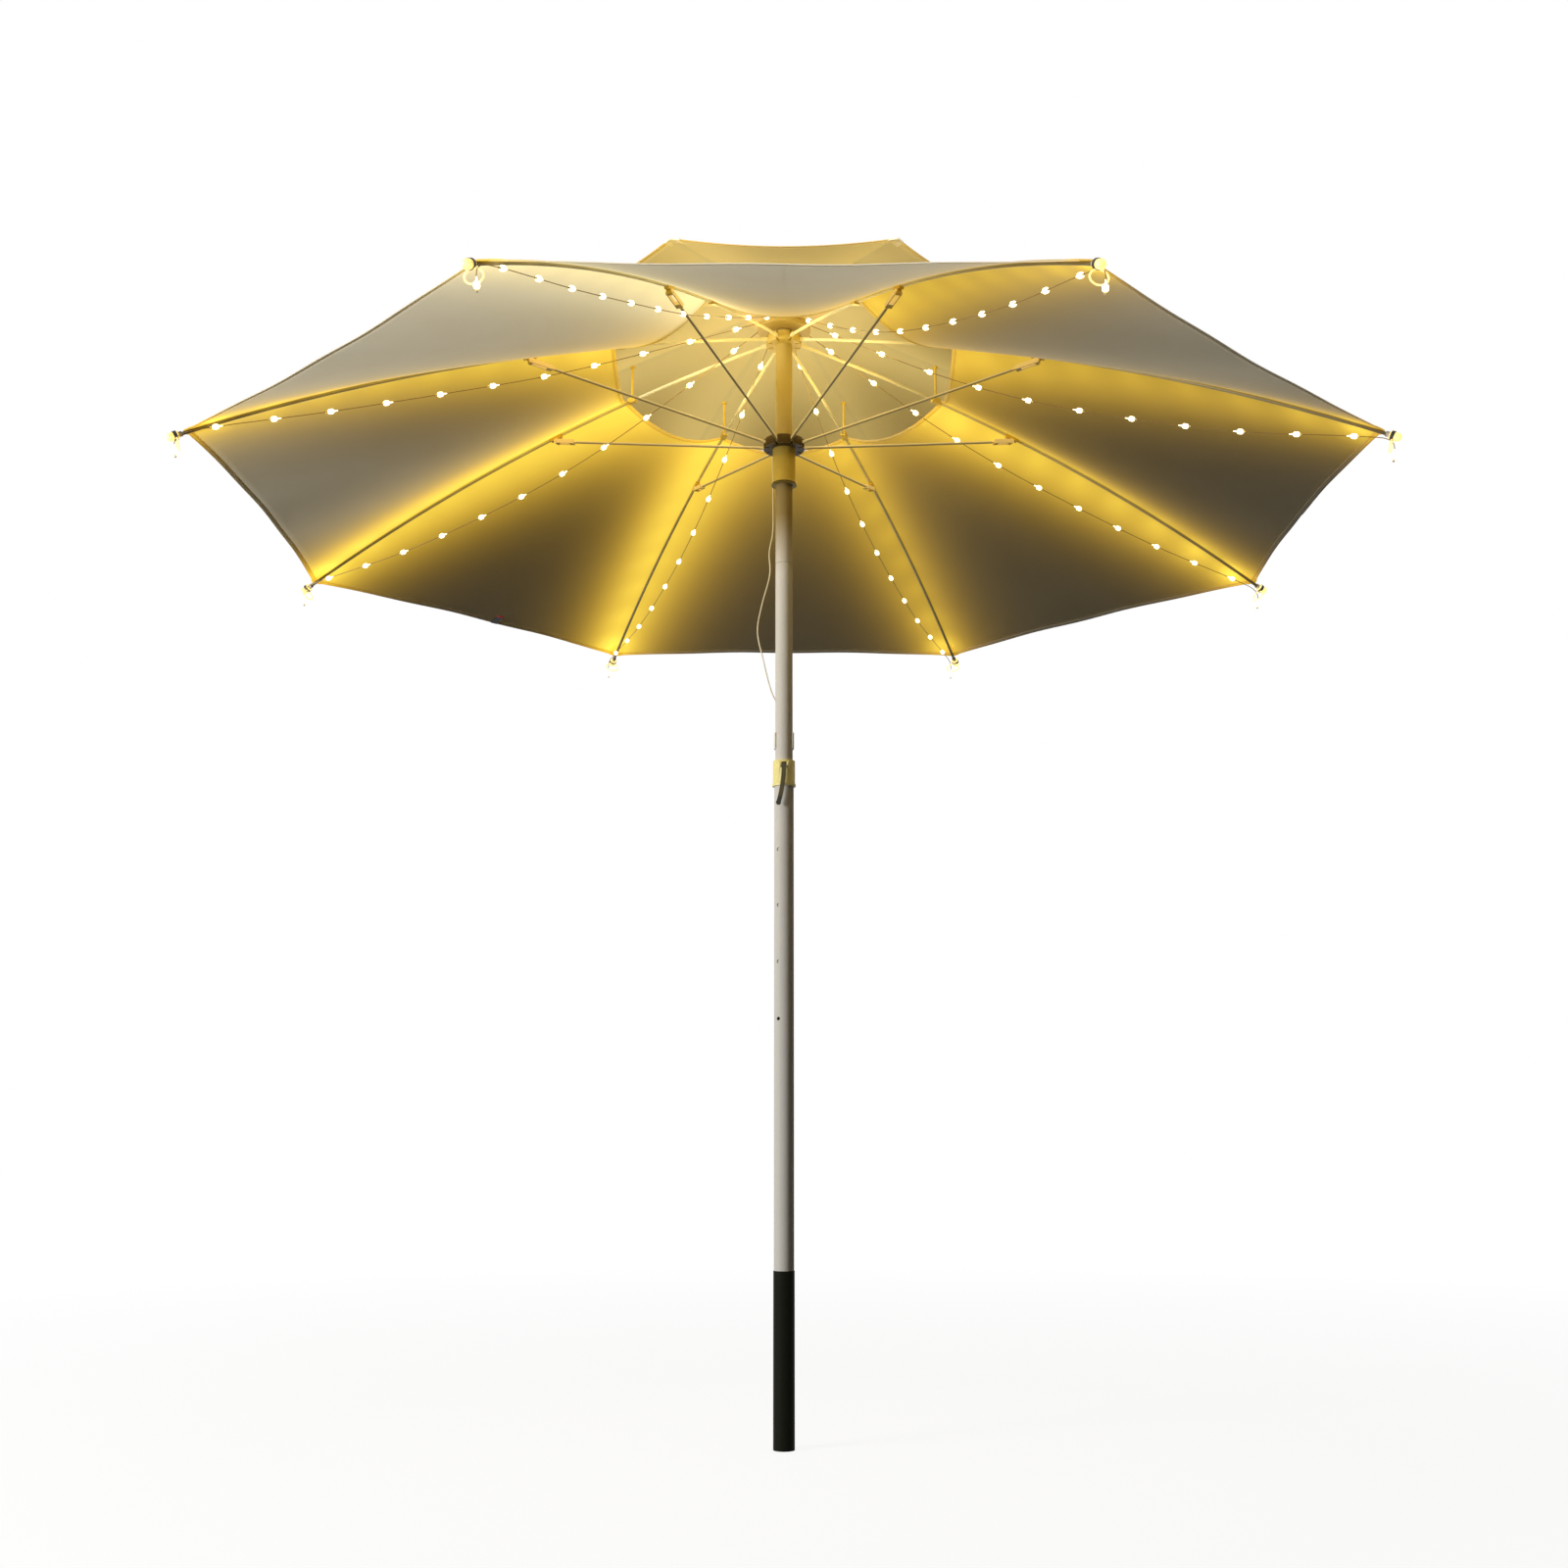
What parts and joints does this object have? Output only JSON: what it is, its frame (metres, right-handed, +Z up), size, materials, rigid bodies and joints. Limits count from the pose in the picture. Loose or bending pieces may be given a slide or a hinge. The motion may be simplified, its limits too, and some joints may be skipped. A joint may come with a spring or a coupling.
{
  "type": "parasol string lights",
  "caption": "Vented garden parasol on a two-part pole with strings of warm lights hanging under its ribs from a hub at the crown, folding by a runner.",
  "frame": {"origin": "centre of the pole's foot, at the lower end of the ground sleeve", "axes": "+Z up the pole, -Y towards the picture's viewer, +X to the viewer's right"},
  "size_m": [2.0428, 2.0428, 2.1713],
  "materials": {
    "pole_enamel": "satin powder-coated steel tube",
    "sleeve_enamel": "black semi-gloss powder-coated steel",
    "black_plastic": "moulded, fine grain",
    "collar_plastic": "moulded pale yellow plastic",
    "lever_plastic": "moulded dark olive-brown plastic",
    "zinc_wire": "zinc-plated steel",
    "hub_plastic": "moulded plastic lit from the lights",
    "cover_plastic": "moulded off-white plastic",
    "circuit_board": "glass-fibre board with solder resist",
    "white_plastic": "moulded off-white plastic",
    "cloth": "woven coated polyester",
    "patch_cloth": "woven coated polyester patch",
    "strap_webbing": "woven webbing",
    "cell_sleeve": "shrink sleeve",
    "contact_brass": "nickel-plated spring brass",
    "lead_sheath": "soft pale sheath",
    "runner_plastic": "moulded dark brown plastic",
    "rib_enamel": "cream enamelled steel tube",
    "stretcher_enamel": "cream enamelled steel tube",
    "led_resin": "clear resin beads lit warm white"
  },
  "bodies": {
    "pole_lower": {"lower_pole": "pole_enamel", "ground_sleeve": "sleeve_enamel", "foot_plug": "black_plastic", "pole_collar": "collar_plastic", "lever_pin": "zinc_wire"},
    "lock_lever": {"lock_lever": "lever_plastic"},
    "mast_upper": {"mid_pole": "pole_enamel", "top_pole": "pole_enamel", "joining_spigot": "zinc_wire", "guide_bush": "black_plastic", "rib_hub": "collar_plastic", "hub_ring_wire": "zinc_wire", "light_hub_case": "hub_plastic", "light_hub_cover": "cover_plastic", "light_hub_board": "circuit_board", "crown_plug": "white_plastic", "crown_patch": "patch_cloth", "finial": "white_plastic", "battery_case": "white_plastic", "battery_cells": "cell_sleeve", "battery_contacts": "contact_brass", "control_board": "circuit_board", "lead_wire": "lead_sheath"},
    "battery_lid": {"battery_lid": "white_plastic"},
    "power_button": {"power_button": "black_plastic"},
    "runner": {"runner": "runner_plastic", "runner_ring_wire": "zinc_wire"},
    "rib_1": {"rib_1": "rib_enamel", "canopy_gore_1": "cloth", "strand_1": "led_resin"},
    "stretcher_1": {"stretcher_1": "stretcher_enamel"},
    "rib_2": {"rib_2": "rib_enamel", "canopy_gore_2": "cloth", "strand_2": "led_resin"},
    "stretcher_2": {"stretcher_2": "stretcher_enamel"},
    "rib_3": {"rib_3": "rib_enamel", "canopy_gore_3": "cloth", "strand_3": "led_resin", "closing_strap": "strap_webbing"},
    "stretcher_3": {"stretcher_3": "stretcher_enamel"},
    "rib_4": {"rib_4": "rib_enamel", "canopy_gore_4": "cloth", "strand_4": "led_resin"},
    "stretcher_4": {"stretcher_4": "stretcher_enamel"},
    "rib_5": {"rib_5": "rib_enamel", "canopy_gore_5": "cloth", "strand_5": "led_resin"},
    "stretcher_5": {"stretcher_5": "stretcher_enamel"},
    "rib_6": {"rib_6": "rib_enamel", "canopy_gore_6": "cloth", "strand_6": "led_resin"},
    "stretcher_6": {"stretcher_6": "stretcher_enamel"},
    "rib_7": {"rib_7": "rib_enamel", "canopy_gore_7": "cloth", "strand_7": "led_resin"},
    "stretcher_7": {"stretcher_7": "stretcher_enamel"},
    "rib_8": {"rib_8": "rib_enamel", "canopy_gore_8": "cloth", "strand_8": "led_resin"},
    "stretcher_8": {"stretcher_8": "stretcher_enamel"}
  },
  "joints": [
    {"name": "mast_slide", "type": "slide", "parent": "pole_lower", "child": "mast_upper", "axis": [0, 0, 1], "range_m": [0, 0.3]},
    {"name": "lever_flip", "type": "hinge", "parent": "pole_lower", "child": "lock_lever", "pos_m": [0, -0.0259, 1.195], "axis": [-1, 0, 0], "range_deg": [0, 100]},
    {"name": "runner_slide", "type": "slide", "parent": "mast_upper", "child": "runner", "axis": [0, 0, 1], "range_m": [-0.46, 0]},
    {"name": "lid_slide", "type": "slide", "parent": "mast_upper", "child": "battery_lid", "axis": [0, 1, 0], "range_m": [0, 0.03]},
    {"name": "button_press", "type": "slide", "parent": "mast_upper", "child": "power_button", "axis": [1, 0, 0], "range_m": [0, 0.001], "stiffness_N_per_m": 600, "springref_m": -0.0008},
    {"name": "rib_1_fold", "type": "hinge", "parent": "mast_upper", "child": "rib_1", "pos_m": [0.02494, 0.01033, 2.035], "axis": [0.3827, -0.9239, 0], "range_deg": [-31, 1], "deforming": ["canopy_gore_1"]},
    {"name": "rib_2_fold", "type": "hinge", "parent": "mast_upper", "child": "rib_2", "pos_m": [0.01033, 0.02494, 2.035], "axis": [0.9239, -0.3827, 0], "range_deg": [-31, 1], "deforming": ["canopy_gore_2"]},
    {"name": "rib_3_fold", "type": "hinge", "parent": "mast_upper", "child": "rib_3", "pos_m": [-0.01033, 0.02494, 2.035], "axis": [0.9239, 0.3827, 0], "range_deg": [-31, 1], "deforming": ["canopy_gore_3"]},
    {"name": "rib_4_fold", "type": "hinge", "parent": "mast_upper", "child": "rib_4", "pos_m": [-0.02494, 0.01033, 2.035], "axis": [0.3827, 0.9239, 0], "range_deg": [-31, 1], "deforming": ["canopy_gore_4"]},
    {"name": "rib_5_fold", "type": "hinge", "parent": "mast_upper", "child": "rib_5", "pos_m": [-0.02494, -0.01033, 2.035], "axis": [-0.3827, 0.9239, 0], "range_deg": [-31, 1], "deforming": ["canopy_gore_5"]},
    {"name": "rib_6_fold", "type": "hinge", "parent": "mast_upper", "child": "rib_6", "pos_m": [-0.01033, -0.02494, 2.035], "axis": [-0.9239, 0.3827, 0], "range_deg": [-31, 1], "deforming": ["canopy_gore_6"]},
    {"name": "rib_7_fold", "type": "hinge", "parent": "mast_upper", "child": "rib_7", "pos_m": [0.01033, -0.02494, 2.035], "axis": [-0.9239, -0.3827, 0], "range_deg": [-31, 1], "deforming": ["canopy_gore_7"]},
    {"name": "rib_8_fold", "type": "hinge", "parent": "mast_upper", "child": "rib_8", "pos_m": [0.02494, -0.01033, 2.035], "axis": [-0.3827, -0.9239, 0], "range_deg": [-31, 1], "deforming": ["canopy_gore_8"]},
    {"name": "stretcher_1_fold", "type": "hinge", "parent": "runner", "child": "stretcher_1", "pos_m": [0.03049, 0.01263, 1.822], "axis": [0.3827, -0.9239, 0], "range_deg": [-1, 35.5]},
    {"name": "stretcher_2_fold", "type": "hinge", "parent": "runner", "child": "stretcher_2", "pos_m": [0.01263, 0.03049, 1.822], "axis": [0.9239, -0.3827, 0], "range_deg": [-1, 35.5]},
    {"name": "stretcher_3_fold", "type": "hinge", "parent": "runner", "child": "stretcher_3", "pos_m": [-0.01263, 0.03049, 1.822], "axis": [0.9239, 0.3827, 0], "range_deg": [-1, 35.5]},
    {"name": "stretcher_4_fold", "type": "hinge", "parent": "runner", "child": "stretcher_4", "pos_m": [-0.03049, 0.01263, 1.822], "axis": [0.3827, 0.9239, 0], "range_deg": [-1, 35.5]},
    {"name": "stretcher_5_fold", "type": "hinge", "parent": "runner", "child": "stretcher_5", "pos_m": [-0.03049, -0.01263, 1.822], "axis": [-0.3827, 0.9239, 0], "range_deg": [-1, 35.5]},
    {"name": "stretcher_6_fold", "type": "hinge", "parent": "runner", "child": "stretcher_6", "pos_m": [-0.01263, -0.03049, 1.822], "axis": [-0.9239, 0.3827, 0], "range_deg": [-1, 35.5]},
    {"name": "stretcher_7_fold", "type": "hinge", "parent": "runner", "child": "stretcher_7", "pos_m": [0.01263, -0.03049, 1.822], "axis": [-0.9239, -0.3827, 0], "range_deg": [-1, 35.5]},
    {"name": "stretcher_8_fold", "type": "hinge", "parent": "runner", "child": "stretcher_8", "pos_m": [0.03049, -0.01263, 1.822], "axis": [-0.3827, -0.9239, 0], "range_deg": [-1, 35.5]}
  ],
  "couplings": [
    {"joint": "rib_1_fold", "follows": "runner_slide", "rad_per_m": 1.13},
    {"joint": "rib_2_fold", "follows": "runner_slide", "rad_per_m": 1.13},
    {"joint": "rib_3_fold", "follows": "runner_slide", "rad_per_m": 1.13},
    {"joint": "rib_4_fold", "follows": "runner_slide", "rad_per_m": 1.13},
    {"joint": "rib_5_fold", "follows": "runner_slide", "rad_per_m": 1.13},
    {"joint": "rib_6_fold", "follows": "runner_slide", "rad_per_m": 1.13},
    {"joint": "rib_7_fold", "follows": "runner_slide", "rad_per_m": 1.13},
    {"joint": "rib_8_fold", "follows": "runner_slide", "rad_per_m": 1.13},
    {"joint": "stretcher_1_fold", "follows": "runner_slide", "rad_per_m": -1.2808},
    {"joint": "stretcher_2_fold", "follows": "runner_slide", "rad_per_m": -1.2808},
    {"joint": "stretcher_3_fold", "follows": "runner_slide", "rad_per_m": -1.2808},
    {"joint": "stretcher_4_fold", "follows": "runner_slide", "rad_per_m": -1.2808},
    {"joint": "stretcher_5_fold", "follows": "runner_slide", "rad_per_m": -1.2808},
    {"joint": "stretcher_6_fold", "follows": "runner_slide", "rad_per_m": -1.2808},
    {"joint": "stretcher_7_fold", "follows": "runner_slide", "rad_per_m": -1.2808},
    {"joint": "stretcher_8_fold", "follows": "runner_slide", "rad_per_m": -1.2808}
  ]
}
